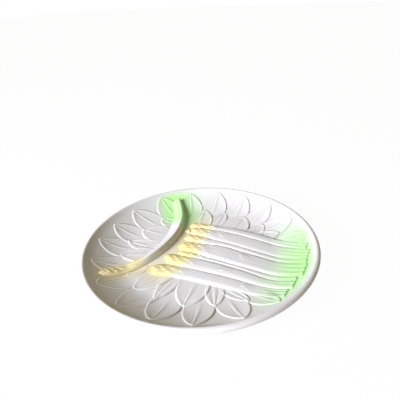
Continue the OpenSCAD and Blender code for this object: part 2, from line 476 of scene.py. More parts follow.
@dataclass
class Leaf(Relief):
    """A leaf in low relief with a stepped edge, a midrib and faint veins.

    Shares along it run from 0 at its tip to 1 at its root, and shares across it from 0 at its
    midrib to 1 at its edge.
    """

    tip: tuple[float, float] = (0, 0)
    degrees: float = 0
    length: float = 40
    half: float = 12
    least_half: float = 1
    full_share: float = 0.6
    root_share: float = 0.35
    tip_power: float = 0.7
    relief: float = 1.5
    slope: float = 0
    slope_from_share: float = 0.25
    level_share: float = 0.55
    tip_relief_share: float = 1
    root_relief_share: float = 1
    root_fade: float = 0.35
    lap: float = 0.45
    lap_w: float = 4
    edge_out: float = 1.1
    edge_in: float = 0.9
    foot_share: float = 0.7
    foot_w: float = 0.7
    midrib_w: float = 4.0
    midrib_h: float = 0.25
    midrib_tip_share: float = 0.5
    midrib_round_share: float = 0.8
    line_h: float = 0.12
    line_w: float = 0.5
    line_off_share: float = 1.4
    line_pool_and_shade: float = 0.6
    plain_edge: float = 0.8
    plain_fade: float = 2
    veins: float = 3.2
    vein_h: float = 0.06
    vein_from_share: float = 0.25
    vein_fade_share: float = 0.2
    vein_tip_share: float = 0.15
    dish: float = 0.38
    dish_w: float = 5.5
    dish_least_w: float = 0.6
    dish_share: float = 0.75
    dish_edge_share: float = 0.6
    detail_end_share: float = 0.85
    detail_fade_share: float = 0.35
    rib_zone: float = 2.4
    rib_zone_share: float = 0.35
    rib_lines_share: float = 0.3
    edge_zone: float = 2.6
    inner_share: float = 0.6
    inner_lines_share: float = 0.62
    outline_points: int = 40
    outline_crowding: float = 1.6
    row_crowding: float = 1.25
    across: int = 72
    along: int = 72

    @property
    def way(self) -> Array:
        """Direction from root to tip."""
        turn = math.radians(self.degrees)
        return np.array([math.cos(turn), math.sin(turn)])

    def to_leaf(self, places: Array) -> Pair:
        """Distance from the tip towards the root, and distance to the side."""
        off = places - np.array(self.tip)
        return -(off @ self.way), off @ np.array([self.way[1], -self.way[0]])

    def to_plan(self, along: Array, side: Array) -> Array:
        """Places on the plan from distances along and to the side."""
        across = np.array([self.way[1], -self.way[0]])
        return np.array(self.tip) - along[:, None] * self.way + side[:, None] * across

    def half_at(self, along: Array) -> Array:
        """Half width at distances from the tip, 0 before it.

        Args:
            along: n distances.

        Returns:
            n half widths.
        """
        share = np.clip(along / self.length, 0, 1)
        tip = 1 - (1 - np.clip(share / self.full_share, 0, 1)) ** 2
        past = np.clip(share - self.full_share, 0, 1) / (1 - self.full_share)
        return self.half * np.where(share < self.full_share, tip**self.tip_power,
                                    1 - self.root_share * past**2)

    def outline(self) -> Array:
        """The leaf's edge on the plan, from its tip round to it again.

        Returns:
            m x 2 corners in order.
        """
        shares = np.linspace(0, 1, self.outline_points) ** self.outline_crowding
        along = self.length * shares
        half = self.half_at(along)
        return np.concatenate([self.to_plan(along, half), self.to_plan(along, -half)[:0:-1]])

    def grid(self) -> Sheet:
        """The leaf's sheet, with its lines close together at the midrib and the edge.

        Returns:
            The sheet, its places on the plan, and which of them lie on its border.
        """
        piece, shares = add_grid(f"glazed_{self.node}", self.across, self.along)
        a, b = (shares[:, 1] + 1) / 2, np.abs(shares[:, 0])
        along = -self.skirt + (self.length + 2 * self.skirt) * a**self.row_crowding
        half = self.half_at(along)
        rib = np.minimum(self.rib_zone, self.rib_zone_share * half)
        inner = np.maximum(half - self.edge_zone, self.inner_share * half)
        rib_b, inner_b = self.rib_lines_share, self.inner_lines_share
        side = np.where(b < rib_b, rib * b / rib_b,
                        rib + (inner - rib) * (b - rib_b) / (inner_b - rib_b))
        side = np.where(b < inner_b, side,
                        inner + (half + self.skirt - inner) * (b - inner_b) / (1 - inner_b))
        return piece, self.to_plan(along, side * np.sign(shares[:, 0])), on_border(shares)

    def relief_at(self, along: Array) -> Array:
        """Height over the bowl at distances from the tip, before the leaf sinks at its root.

        Args:
            along: n distances.

        Returns:
            n heights.
        """
        share = along / self.length
        fall = np.maximum(along - self.length * self.slope_from_share, 0)
        to_tip = 1 - ease(share / self.level_share)
        to_root = ease((share - self.level_share) / (1 - self.level_share))
        return (self.relief - math.tan(math.radians(self.slope)) * fall) * (
            1 - (1 - self.tip_relief_share) * to_tip - (1 - self.root_relief_share) * to_root)

    def detail_at(self, share: Array, side: Array, inside: Array, half: Array) -> Pair:
        """Midrib, lines beside it, veins and dish.

        Args:
            share: each place's share along the leaf.
            side: its distance to the side.
            inside: its distance from the edge, positive inside it.
            half: the leaf's half width there.

        Returns:
            The height that they add, and how the glaze pools in the lines, which also paints their
            shade.
        """
        taper = self.midrib_tip_share + (1 - self.midrib_tip_share) * ease(share / self.full_share)
        rib_half = self.midrib_w / 2 * taper
        rib = bump_at(side, rib_half * self.midrib_round_share)
        body = ease((inside - self.plain_edge) / self.plain_fade)
        line = body * bump_at(np.abs(side) - self.line_off_share * rib_half, self.line_w)
        spread = np.abs(side) / half
        vein = (body * ease(share / self.vein_tip_share) * np.cos(spread * math.pi * self.veins)
                * ease((spread - self.vein_from_share) / self.vein_fade_share))
        dish_w = np.minimum(self.dish_w, self.dish_share * half + self.dish_least_w)
        detail = (self.midrib_h * rib - self.line_h * line + self.vein_h * vein
                  + self.dish * (self.dish_edge_share - ease(inside / dish_w)))
        fade = ease((self.detail_end_share - share) / self.detail_fade_share)
        # The engraved lines get pooled glaze and painted shade
        return detail * fade, self.line_pool_and_shade * line * fade

    def raised(self, places: Array, under: Array) -> Pair:
        """Heights with the leaf laid over those under it, and how the glaze pools at its foot,
        which also paints the shade there.

        Args:
            places: n x 2 places on the plan.
            under: n heights of what lies under them.

        Returns:
            n heights, and n shares of pooled glaze and painted shade.
        """
        along, side = self.to_leaf(places)
        inside = signed_distance(places, self.outline())
        share, half = along / self.length, np.maximum(self.half_at(along), self.least_half)
        root = ease((1 - share) / self.root_fade)
        lap = self.lap * root * (1 - ease(inside / self.lap_w))
        top = np.maximum(self.coupe.ground(places) + self.relief_at(along) * root, under + lap)
        detail, lines = self.detail_at(share, side, inside, half)
        step = ease((inside + self.edge_out) / (self.edge_out + self.edge_in))
        height = (under + np.maximum(top + detail - under, 0) * step
                  + self.film * ease(1 + inside / self.skirt))
        # A band at the foot of the leaf's edge gets pooled glaze and painted shade
        foot = bump_at(inside + self.edge_out * self.foot_share, self.foot_w)
        return height, np.maximum(foot, lines)


@dataclass
class Bract:
    """A small pointed scale on a stalk."""

    tip: tuple[float, float]
    degrees: float
    length: float
    half: float
    lift: float = 0.5
    edge_w: float = 0.7
    reach_share: float = 1.15
    pool_and_shade_out: float = 0.3
    pool_and_shade_w: float = 0.45
    tip_power: float = 0.8
    outline_points: int = 16
    outline_crowding: float = 1.3

    def outline(self, way: Array) -> Array:
        """The scale's edge on the plan, for the way in which it points.

        Args:
            way: the direction from its root to its tip.

        Returns:
            m x 2 corners in order.
        """
        shares = np.linspace(0, 1, self.outline_points) ** self.outline_crowding
        half = self.half * np.sin(shares * math.pi / 2) ** self.tip_power
        middle = np.array(self.tip) - (shares * self.length)[:, None] * way
        side = half[:, None] * np.array([way[1], -way[0]])
        return np.concatenate([middle + side, (middle - side)[:0:-1]])

    def raised(self, places: Array) -> Pair:
        """Height that the scale adds, and how the glaze pools at its edge, which also paints the
        shade there.

        Args:
            places: n x 2 places on the plan.

        Returns:
            n heights, and n shares of pooled glaze and painted shade.
        """
        turn = math.radians(self.degrees)
        way = np.array([math.cos(turn), math.sin(turn)])
        off = places - np.array(self.tip)
        near = np.hypot(off[:, 0], off[:, 1]) < self.length + self.half
        lift, pool_and_shade = np.zeros(len(places)), np.zeros(len(places))
        if near.any():
            inside = signed_distance(places[near], self.outline(way))
            fade = ease(self.reach_share + (off[near] @ way) / self.length)
            lift[near] = self.lift * fade * ease((inside + self.edge_w / 2) / self.edge_w)
            # The scale's edge gets pooled glaze and painted shade
            pool_and_shade[near] = fade * bump_at(inside + self.pool_and_shade_out, self.pool_and_shade_w)
        return lift, pool_and_shade


@dataclass
class Stalk(Relief):
    """An asparagus stalk in relief: scaled bud, plain middle and ribbed butt.

    Each bud scale has its tip's share along the bud and across it, and the shares of its half
    width and its length.
    """

    BUD_SCALES = ((0.9, 0.25, 0.42, 0.4), (0.78, -0.35, 0.42, 0.36), (0.66, 0.6, 0.36, 0.32),
                  (0.56, 0.02, 0.42, 0.32), (0.46, -0.62, 0.36, 0.3), (0.36, 0.45, 0.4, 0.28),
                  (0.26, -0.2, 0.42, 0.26), (0.1, 0.1, 0.5, 0.22))

    height: float = 5.6
    length: float = 140
    bud: float = 24
    bud_round: float = 10
    butt_round: float = 2.2
    scale_lift: float = 0.8
    scale_turn: float = 14
    ribs: int = 4
    rib_h: float = 0.4
    rib_pool_and_shade: float = 0.5
    rib_from_share: float = 0.74
    smooth_rib_share: float = 0.1
    sink_from_share: float = 0.5
    butt_h_share: float = 0.3
    lip_h: float = 0.5
    lip_in: float = 1.6
    lip_w: float = 0.9
    fall: float = 3.0
    fillet: float = 0.8
    least_half: float = 0.05
    line_crowding: float = 0.55
    outline_points: int = 80
    bracts: list[Bract] = field(default_factory=list)
    across: int = 40
    along: int = 200

    def to_stalk(self, places: Array) -> Pair:
        """Distance along the stalk from its bud's tip, and distance to the side."""
        raise NotImplementedError

    def to_plan(self, along: Array, side: Array) -> Array:
        """Places on the plan from distances along and to the side."""
        raise NotImplementedError

    def edges(self, along: Array) -> Pair:
        """Distances to the side of the stalk's two edges."""
        raise NotImplementedError

    def section(self, along: Array, off: Array, half: Array) -> Pair:
        """Share of the height at distances off the middle, and share of the detail there."""
        raise NotImplementedError

    def outline(self) -> Array:
        """The stalk's edge on the plan, down one side and up the other.

        Returns:
            m x 2 corners in order.
        """
        along = np.linspace(0, self.length, self.outline_points)
        low, high = self.edges(along)
        return np.concatenate([self.to_plan(along, low), self.to_plan(along, high)[::-1]])

    def ends(self, along: Array) -> Array:
        """How full the stalk is near its two ends, from 0 to 1.

        Args:
            along: n distances from the bud's tip.

        Returns:
            n shares.
        """
        bud = np.clip(along / self.bud_round, 0, 1)
        butt = np.clip((self.length - along) / self.butt_round, 0, 1)
        return np.sqrt(1 - (1 - bud) ** 2) * np.sqrt(1 - (1 - butt) ** 2)

    def sunk(self, along: Array) -> Array:
        """Share of the height that is left where the top sinks to the butt."""
        past = np.clip(along / self.length - self.sink_from_share, 0, 1)
        return 1 - (1 - self.butt_h_share) * (past / (1 - self.sink_from_share)) ** 2

    def grid(self) -> Sheet:
        """The stalk's sheet, with its lines close together at its two edges.

        Returns:
            The sheet, its places on the plan, and which of them lie on its border.
        """
        piece, shares = add_grid(f"glazed_{self.node}", self.across, self.along)
        a = (shares[:, 1] + 1) / 2
        along = -self.skirt + (self.length + 2 * self.skirt) * a
        low, high = self.edges(np.clip(along, 0, self.length))
        b = (np.sin(shares[:, 0] * math.pi / 2) * self.line_crowding
             + shares[:, 0] * (1 - self.line_crowding))
        side = (low + high) / 2 + b * ((high - low) / 2 + self.skirt)
        return piece, self.to_plan(along, side), on_border(shares)

    def bud_bracts(self) -> list[Bract]:
        """The scales that overlap on the bud, from its tip on.

        Returns:
            The scales.
        """
        bracts = []
        for at, off, half_share, length_share in self.BUD_SCALES:
            along = np.array([self.bud * at, self.bud * at + 1])
            low, high = self.edges(along)
            half = (high - low)[0] / 2
            tip, behind = self.to_plan(along, (low + high) / 2 + off * half)
            way = tip - behind
            degrees = math.degrees(math.atan2(way[1], way[0])) + self.scale_turn * off
            bracts.append(Bract(tuple(tip), degrees, self.bud * length_share, half * half_share,
                                self.scale_lift))
        return bracts

    def raised(self, places: Array, under: Array) -> Pair:
        """Heights with the stalk laid over those under it, and how the glaze pools on it, which
        also paints shade in its grooves and at its foot.

        Args:
            places: n x 2 places on the plan.
            under: n heights of what lies under them.

        Returns:
            n heights, and n shares of pooled glaze and painted shade.
        """
        along, side = self.to_stalk(places)
        low, high = self.edges(np.clip(along, 0, self.length))
        half = np.maximum((high - low) / 2, self.least_half)
        off = side - (low + high) / 2
        q = np.clip(off / half, -1, 1)
        past_end = np.maximum(np.maximum(-along, along - self.length), 0)
        beyond = np.maximum(np.abs(off) - half, 0) + past_end
        full, plain = self.section(along, np.clip(off, -half, half), half)
        ends = self.ends(along)
        rib_share = ease((along / self.length - self.rib_from_share) / (1 - self.rib_from_share))
        rib = 0.5 + 0.5 * np.cos(math.pi * (self.ribs * (q + 1) + 1))
        lip = self.lip_h * bump_at(self.length - along - self.lip_in, self.lip_w)
        ribbed = self.smooth_rib_share + (1 - self.smooth_rib_share) * rib_share
        detail = lip - self.rib_h * ribbed * (1 - rib)
        # The rib grooves get pooled glaze and painted shade
        pool_and_shade = rib_share * (1 - rib) ** 2 * self.rib_pool_and_shade
        for bract in self.bracts:
            lift, edge = bract.raised(places)
            detail = detail + lift
            pool_and_shade = np.maximum(pool_and_shade, edge)
        top = (self.coupe.ground(places) + self.height * ends * self.sunk(along) * full
               + detail * plain * np.sqrt(ends) - self.fall * beyond)
        # The fillet where the stalk meets what lies under it gets pooled glaze and painted shade
        height, foot = smooth_max(under, top, self.fillet)
        height = height + self.film * ease(1 - beyond / self.skirt)
        return height, np.maximum(foot, pool_and_shade * (beyond == 0))


@dataclass
class Spear(Stalk):
    """A spear of the bundle, with its two edges drawn at levels from tip to butt."""

    rows: list[tuple[float, float, float]] = field(default_factory=list)
    left_w: float = 5.0
    left_share: float = 0.88
    right_w: float = 4.5
    right_share: float = 0.75
    crown_share: float = 0.08
    bud_edge_share: float = 0.35
    bud_h_share: float = 0.62
    settle_from_share: float = 0.5
    grow_share: float = 2
    round_power: float = 2.2

    def __post_init__(self) -> None:
        """Takes the length from the rows, and adds the bud's scales."""
        self.length = self.rows[0][0] - self.rows[-1][0]
        self.bracts = self.bracts + self.bud_bracts()

    def section(self, along: Array, off: Array, half: Array) -> Pair:
        """Share of the height under a domed crown with a wide flank on either side.

        Args:
            along: n distances from the bud's tip.
            off: n distances off the middle.
            half: n half widths.

        Returns:
            n shares of the height, and n shares of the detail that shows there.
        """
        past = along - self.bud * self.settle_from_share
        settled, grown = ease(past / self.bud), ease(past / (self.bud * self.grow_share))
        full, plain = 1 - self.crown_share * (off / half) ** 2, np.ones_like(off)
        for inwards, width, share in ((half + off, self.left_w, self.left_share),
                                      (half - off, self.right_w, self.right_share)):
            round_w = half + (width - half) * settled
            fallen = (1 - np.clip(inwards / round_w, 0, 1)) ** self.round_power
            full = full - fallen * (1 - self.bud_edge_share
                                    - (share - self.bud_edge_share) * settled)
            plain = plain * (1 - fallen)
        return full * (self.bud_h_share + (1 - self.bud_h_share) * grown), plain

    def edges(self, along: Array) -> Pair:
        """Distances to the side of the two edges, on smooth curves through the rows.

        Args:
            along: n distances from the bud's tip.

        Returns:
            n places of the left edge, and n of the right one.
        """
        level, left, right = (np.array(column) for column in zip(*self.rows))
        stations = level[0] - level
        return smooth_along(along, stations, left), smooth_along(along, stations, right)

    def to_stalk(self, places: Array) -> Pair:
        """Distance down from the bud's tip, and place to the side."""
        return self.rows[0][0] - places[:, 1], places[:, 0]

    def to_plan(self, along: Array, side: Array) -> Array:
        """Places on the plan from distances down and places to the side."""
        return np.column_stack([side, self.rows[0][0] - along])


def smooth_along(at: Array, stations: Array, values: Array) -> Array:
    """Values between stations, on smooth curves without overshoot.

    Args:
        at: where the values are wanted.
        stations: where they are known, in rising order.
        values: the values there.

    Returns:
        The values wanted.
    """
    slope = np.gradient(values, stations)
    index = np.clip(np.searchsorted(stations, at, side="right") - 1, 0, len(stations) - 2)
    gap = stations[index + 1] - stations[index]
    s = np.clip((at - stations[index]) / gap, 0, 1)
    rise = values[index + 1] - values[index]
    m0 = np.clip(slope[index] * gap, -3 * abs(rise), 3 * abs(rise))
    m1 = np.clip(slope[index + 1] * gap, -3 * abs(rise), 3 * abs(rise))
    return (values[index] * (2 * s**3 - 3 * s**2 + 1) + m0 * (s**3 - 2 * s**2 + s)
            + values[index + 1] * (3 * s**2 - 2 * s**3) + m1 * (s**3 - s**2))


@dataclass
class Divider(Stalk):
    """The bowed stalk that parts off the sauce well.

    Its width follows shares of the full one at stations from the bud's tip to the butt.
    """

    STATIONS = (0, 0.03, 0.08, 0.14, 0.3, 0.5, 0.8, 1.0)
    WIDTH_SHARES = (0.2, 0.68, 0.9, 0.92, 0.92, 1, 1.04, 0.9)

    height: float = 6.9
    bud: float = 22
    bud_round: float = 12
    butt_round: float = 1.4
    scale_lift: float = 1.0
    smooth_rib_share: float = 0
    sink_from_share: float = 0.8
    butt_h_share: float = 0.85
    lip_h: float = 0
    fillet: float = 1.2
    across: int = 52
    along: int = 260
    lowest_y: float = 40.8
    bend_r: float = 110.7
    turn: float = 43.7
    width: float = 14.6
    crest: float = 0.5
    edge_share: float = 0.12
    bud_h_share: float = 0.55
    settle_share: float = 1.4
    grow_share: float = 2
    round_power: float = 2.2
    front_flatter: float = 0.9
    back_flatter: float = 0.7

    def __post_init__(self) -> None:
        """Takes the length from the bend, and adds the bud's scales."""
        self.length = 2 * math.radians(self.turn) * self.bend_r
        self.bracts = self.bracts + self.bud_bracts()

    def edges(self, along: Array) -> Pair:
        """Distances to the side of the two edges, alike on either side."""
        half = self.width / 2 * smooth_along(along / self.length, np.array(self.STATIONS),
                                             np.array(self.WIDTH_SHARES))
        return -half, half

    def section(self, along: Array, off: Array, half: Array) -> Pair:
        """Share of the height, with a crest towards the well and a slanting back.

        Args:
            along: n distances from the bud's tip.
            off: n distances off the middle.
            half: n half widths.

        Returns:
            n shares of the height, and n shares of the detail that shows there.
        """
        past = along - self.bud
        settled = ease(past / (self.bud * self.settle_share))
        grown = ease(past / (self.bud * self.grow_share))
        q, crest = off / half, self.crest * settled
        front = np.clip((q - crest) / (1 - crest), 0, 1)
        back = np.clip((crest - q) / (1 + crest), 0, 1)
        dome = 1 - np.where(q > crest, front ** (self.round_power - self.front_flatter * settled),
                            back ** (self.round_power - self.back_flatter * settled))
        full = self.edge_share + (1 - self.edge_share) * dome
        return full * (self.bud_h_share + (1 - self.bud_h_share) * grown), np.sqrt(dome)

    def to_stalk(self, places: Array) -> Pair:
        """Distance round the bend from the bud's tip, and distance out from it.

        Args:
            places: n x 2 places on the plan.

        Returns:
            n distances round, and n distances out.
        """
        off = places - np.array([0, self.lowest_y + self.bend_r])
        turn = np.arctan2(off[:, 0], -off[:, 1])
        along = (turn + math.radians(self.turn)) * self.bend_r
        return along, np.hypot(off[:, 0], off[:, 1]) - self.bend_r

    def to_plan(self, along: Array, side: Array) -> Array:
        """Places on the plan from distances round the bend and out from it.

        Args:
            along: n distances round.
            side: n distances out.

        Returns:
            n x 2 places.
        """
        turn = along / self.bend_r - math.radians(self.turn)
        radius = self.bend_r + side
        return np.column_stack([radius * np.sin(turn),
                                self.lowest_y + self.bend_r - radius * np.cos(turn)])


@dataclass
class Garden:
    """All the forms of the relief.

    A leaf's row has its tip's place, the degrees in which it points, its length and its half
    width. All but the degrees are shares of the plate's radius. A spear's row has a level on the
    plan and the places to the side of its two edges there.
    """

    OUTER = [
        (-0.4, -0.833, 250, 0.33, 0.098), (-0.643, -0.668, 225, 0.38, 0.118),
        (-0.834, -0.378, 197, 0.38, 0.115), (-0.898, -0.09, 186, 0.38, 0.124),
        (-0.87, 0.215, 162, 0.38, 0.118), (-0.743, 0.506, 148, 0.37, 0.122),
        (-0.531, 0.735, 116, 0.37, 0.118), (-0.269, 0.865, 103, 0.39, 0.124),
        (-0.008, 0.898, 90, 0.37, 0.12), (0.269, 0.873, 82, 0.38, 0.131),
        (0.575, 0.745, 60, 0.37, 0.122), (0.776, 0.498, 29, 0.37, 0.119),
        (0.898, 0.229, 10, 0.37, 0.129), (0.931, -0.049, 2, 0.38, 0.112),
        (0.876, -0.33, -17, 0.37, 0.108), (0.72, -0.6, -42, 0.37, 0.116),
        (0.489, -0.803, -66, 0.27, 0.09)]
    INNER = [
        (-0.402, -0.61, 253, 0.28, 0.06), (-0.545, -0.4, 204, 0.28, 0.075),
        (-0.637, -0.192, 188, 0.36, 0.124), (-0.653, 0.045, 176, 0.33, 0.068),
        (-0.62, 0.255, 156, 0.36, 0.108), (-0.514, 0.4, 155, 0.19, 0.045),
        (-0.31, 0.608, 119, 0.28, 0.102), (-0.11, 0.669, 95, 0.29, 0.086),
        (0.098, 0.657, 95, 0.29, 0.13), (0.335, 0.592, 84, 0.18, 0.078),
        (0.645, 0.269, 11, 0.34, 0.122), (0.678, 0.062, 0, 0.31, 0.078),
        (0.67, -0.145, -8, 0.32, 0.135), (0.6, -0.366, -15, 0.25, 0.072),
        (0.51, -0.545, -62, 0.24, 0.073)]
    SPEARS = {
        "spear_bud": dict(height=3.2, ribs=2, rows=[
            (34.5, 29, 31), (32, 27.2, 33.2), (26, 27, 33.5)]),
        "spear_far_left": dict(height=2.8, ribs=3, left_w=4, left_share=0.82, rows=[
            (34.5, -46, -40.5), (31, -49.3, -36), (25, -50.3, -33), (17, -49, -31.3),
            (8, -46.3, -30.2), (-20, -42.7, -28), (-50, -40.7, -26.6), (-80, -40, -26.4),
            (-104, -41, -27.5)]),
        "spear_left": dict(height=3.8, ribs=2, rows=[
            (30.5, -21, -17), (26, -26.5, -15), (18, -29.3, -13.6), (5, -28.8, -12.8),
            (-20, -27, -12.3), (-50, -25.8, -12.6), (-80, -25.8, -15), (-107, -26, -15.6)]),
        "spear_thin": dict(height=3.3, ribs=1, left_w=2, right_w=2, rows=[
            (21, -10, -8), (17, -12.8, -6), (8, -12.6, -5.2), (-10, -12.1, -6.2),
            (-40, -12.1, -8), (-80, -14.7, -8), (-107, -15.3, -7.6)]),
        "spear_middle": dict(height=4.2, ribs=3, left_w=4.0, left_share=0.7, rows=[
            (26.5, 1, 6), (22, -4, 11), (12, -5.2, 13.2), (0, -5, 14.5), (-20, -6, 16.3),
            (-44, -7.8, 14.8), (-80, -7.5, 13.3), (-111, -7.3, 12.5)]),
        "spear_slim": dict(height=3.6, ribs=1, left_w=2, right_w=2.5, rows=[
            (28.5, 17, 20), (24, 14, 24.8), (16, 13.6, 26.3), (5, 14.7, 25.5),
            (-20, 16.7, 23.7), (-50, 14.9, 21.7), (-80, 13.6, 20.3), (-109, 13, 19.6)]),
        "spear_right": dict(height=4.0, ribs=3, left_share=0.86, rows=[
            (30, 32, 36), (26, 28.5, 39.5), (14, 26.8, 42.6), (0, 26, 43.2), (-20, 24.1, 43),
            (-50, 22, 41.3), (-80, 20.7, 38.4), (-108, 20, 34)]),
        "spear_far_right": dict(height=3.8, ribs=2, left_w=2, right_w=2, right_share=0.3, rows=[
            (35, 41.5, 46), (31, 38, 49.5), (24, 39.8, 49.5), (10, 42.2, 49.5), (-20, 43, 51.5),
            (-50, 41.8, 51.5), (-80, 38.8, 48), (-103, 34.6, 45)]),
    }
    BRACTS = {
        "spear_far_left": [Bract((-36, 4), 80, 9, 3.5), Bract((-34, -60), 95, 12, 4)],
        "spear_left": [Bract((-23, -32), 120, 14, 4.5), Bract((-21, 0), 85, 9, 4)],
        "spear_middle": [Bract((9, -42), 60, 14, 5), Bract((2, -2), 95, 11, 5)],
        "spear_slim": [Bract((19, 6), 90, 8, 3)],
        "spear_right": [Bract((36, -6), 75, 14, 5), Bract((32, 6), 95, 10, 4)],
        "spear_far_right": [Bract((47, 8), 85, 8, 2.5)],
    }
    DIVIDER_BRACTS = [Bract((-60, 47), 150, 16, 5, 0.6), Bract((-52, 56), 140, 14, 4, 0.5),
                      Bract((-8, 38), 165, 22, 4, 0.3)]
    FAINT = {"outer_leaf_5": 0.3, "outer_leaf_6": 0.3, "outer_leaf_7": 0.7,
             "inner_leaf_5": 0.55, "inner_leaf_6": 0.35}

    coupe: Coupe
    outer_relief: float = 0.9
    inner_relief: float = 1.3
    small_relief: float = 1.15
    inner_slope: float = 2.5
    outer_tip_share: float = 0.85
    outer_root_share: float = 0.7

    def leaf(self, node: str, row: tuple, **form: float) -> Leaf:
        """A leaf from its row and the form of its relief, which is lower for a faint one.

        Args:
            node: the leaf's node.
            row: its row.
            form: the sizes of its relief.

        Returns:
            The leaf.
        """
        x, y, degrees, length, half = row
        r = self.coupe.radius
        form["relief"] *= self.FAINT.get(node, 1)
        return Leaf(node, self.coupe, tip=(x * r, y * r), degrees=degrees, length=length * r,
                    half=half * r, **form)

    def leaves(self) -> list[Relief]:
        """The outer row, then the small and the large leaves of the inner one.

        Returns:
            The leaves.
        """
        outer = [self.leaf(f"outer_leaf_{i}", row, relief=self.outer_relief,
                           tip_relief_share=self.outer_tip_share,
                           root_relief_share=self.outer_root_share)
                 for i, row in enumerate(self.OUTER, 1)]
        inner = [self.leaf(f"inner_leaf_{i}", row, slope=self.inner_slope,
                           relief=self.inner_relief if i % 2 else self.small_relief)
                 for i, row in enumerate(self.INNER, 1)]
        return outer + inner[1::2] + inner[0::2]

    def forms(self) -> list[Relief]:
        """All the forms, in the order in which they are laid.

        Returns:
            The leaves, the divider and the spears.
        """
        divider = Divider("sauce_divider", self.coupe, bracts=self.DIVIDER_BRACTS)
        spears = [Spear(node, self.coupe, bracts=self.BRACTS.get(node, []), **shape)
                  for node, shape in self.SPEARS.items()]
        return self.leaves() + [divider] + spears


@dataclass
class Value:
    """A shader socket that takes part in Python expressions."""

    shader: "Shader"
    socket: bpy.types.NodeSocket

    def maths(self, operation: str, *others: "Value | float", first: bool = True) -> "Value":
        """Adds a Math node."""
        values = [self, *others] if first else [*others, self]
        return self.shader.add("ShaderNodeMath", {"operation": operation}, *values)

    def __add__(self, other: "Value | float") -> "Value":
        """Sum."""
        return self.maths("ADD", other)

    def __sub__(self, other: "Value | float") -> "Value":
        """Difference."""
        return self.maths("SUBTRACT", other)

    def __rsub__(self, other: float) -> "Value":
        """Difference from a number."""
        return self.maths("SUBTRACT", other, first=False)

    def __mul__(self, other: "Value | float") -> "Value":
        """Product."""
        return self.maths("MULTIPLY", other)

    __radd__ = __add__
    __rmul__ = __mul__

    def root(self) -> "Value":
        """Square root."""
        return self.maths("SQRT")

    def clamped(self) -> "Value":
        """The value held between 0 and 1."""
        return self.shader.add("ShaderNodeClamp", {}, self)

    def eased(self, start: float, end: float) -> "Value":
        """Smooth step from 0 at start to 1 at end."""
        return self.shader.add("ShaderNodeMapRange", {"interpolation_type": "SMOOTHSTEP"},
                               self, start, end, 0.0, 1.0)


class Shader:
    """The nodes of a finish, or of the light in the room."""

    WHITE = (1, 1, 1, 1)
    SEEN_RAYS = ("Is Camera Ray", "Is Glossy Ray", "Is Transmission Ray")
    GRAIN_SCALE = 5.0
    GRAIN_DETAIL = 15.0

    def __init__(self, owner: "bpy.types.Material | bpy.types.World") -> None:
        """Starts from the surface that a new material or world comes with.

        Args:
            owner: the new material or world.
        """
        owner.use_nodes = True
        self.owner, self.tree = owner, owner.node_tree
        self.end = next(node for node in self.tree.nodes if node.type.startswith("OUTPUT"))
        self.surface = self.end.inputs["Surface"].links[0].from_node

    def add(self, kind: str, settings: dict, *values: "Value | float | tuple | None",
            out: str = "") -> Value:
        """Adds a node.

        Args:
            kind: the node's type.
            settings: its settings, made first.
            values: numbers, colours or links for its sockets in order, None to skip one.
            out: the name of the output that is given back, or nothing for its first.

        Returns:
            That output.
        """
        node = self.tree.nodes.new(kind)
        for key, setting in settings.items():
            setattr(node, key, setting)
        sockets = [socket for socket in node.inputs if socket.enabled]
        for socket, value in zip(sockets, values):
            if value is not None:
                self.join(socket, value)
        return Value(self, next(socket for socket in node.outputs
                                if socket.enabled and out in ("", socket.name)))

    def join(self, socket: bpy.types.NodeSocket, value: "Value | float | tuple") -> None:
        """Gives a socket a link or a plain value.

        Args:
            socket: an input socket.
            value: what it is given.
        """
        if isinstance(value, Value):
            self.tree.links.new(value.socket, socket)
        else:
            socket.default_value = value

    def feed(self, name: str, value: "Value | float | tuple") -> None:
        """Gives one of the surface's own sockets its value."""
        self.join(self.surface.inputs[name], value)

    def mix(self, share: "Value | float", a: "Value | tuple", b: "Value | tuple") -> Value:
        """Mixes two colours."""
        return self.add("ShaderNodeMix", {"data_type": "RGBA"}, share, a, b)

    def grain(self, places: Value, harshness: float) -> Value:
        """A grain about 0.5 over places, so fine that it looks even from afar."""
        return self.add("ShaderNodeTexNoise", {}, places, self.GRAIN_SCALE, self.GRAIN_DETAIL,
                        harshness)

    def look_white(self, kind: str, share: float) -> None:
        """Shows white light of a kind of node to the camera, in gloss and through glass.

        Args:
            kind: the type of node that gives the light.
            share: how much of it is mixed over the surface.
        """
        camera, glossy, through = (self.add("ShaderNodeLightPath", {}, out=ray)
                                   for ray in self.SEEN_RAYS)
        seen = (camera + glossy + through).clamped() * share
        white = self.add(kind, {}, self.WHITE, 1.0)
        surface = Value(self, self.surface.outputs[0])
        mixed = self.add("ShaderNodeMixShader", {}, seen, surface, white)
        self.join(self.end.inputs["Surface"], mixed)


def linear(level: int) -> float:
    """The share of full light that a screen level from 0 to 255 stands for."""
    share = level / 255
    return share / 12.92 if share <= 0.04045 else ((share + 0.055) / 1.055) ** 2.4


def colour(red: int, green: int, blue: int) -> Colour:
    """A colour from its screen levels."""
    return (linear(red), linear(green), linear(blue), 1.0)


class Tint(Enum):
    """The two sprayed tints."""

    YELLOW = "yellow"
    GREEN = "green"


@dataclass(frozen=True)
class Spray:
    """A pass of the spray gun from one place to another, in millimetres on the plan."""

    tint: Tint
    start: tuple[float, float]
    end: tuple[float, float]
    core: float
    reach: float
    strength: float
    on: tuple[Slot, ...]

    def mask(self, x: Value, y: Value) -> Value:
        """How much of the tint the pass leaves at a place.

        Args:
            x: the place's distance to the right.
            y: its distance towards the well.

        Returns:
            A share from 0 to the pass's strength.
        """
        (ax, ay), (bx, by) = self.start, self.end
        dx, dy = bx - ax, by - ay
        length = math.hypot(dx, dy)
        along = ((x - ax) * (dx / length**2) + (y - ay) * (dy / length**2)).clamped()
        off_x = x - ax - along * dx
        off_y = y - ay - along * dy
        away = (off_x * off_x + off_y * off_y).root()
        return (1 - away.eased(self.core, self.reach)) * self.strength


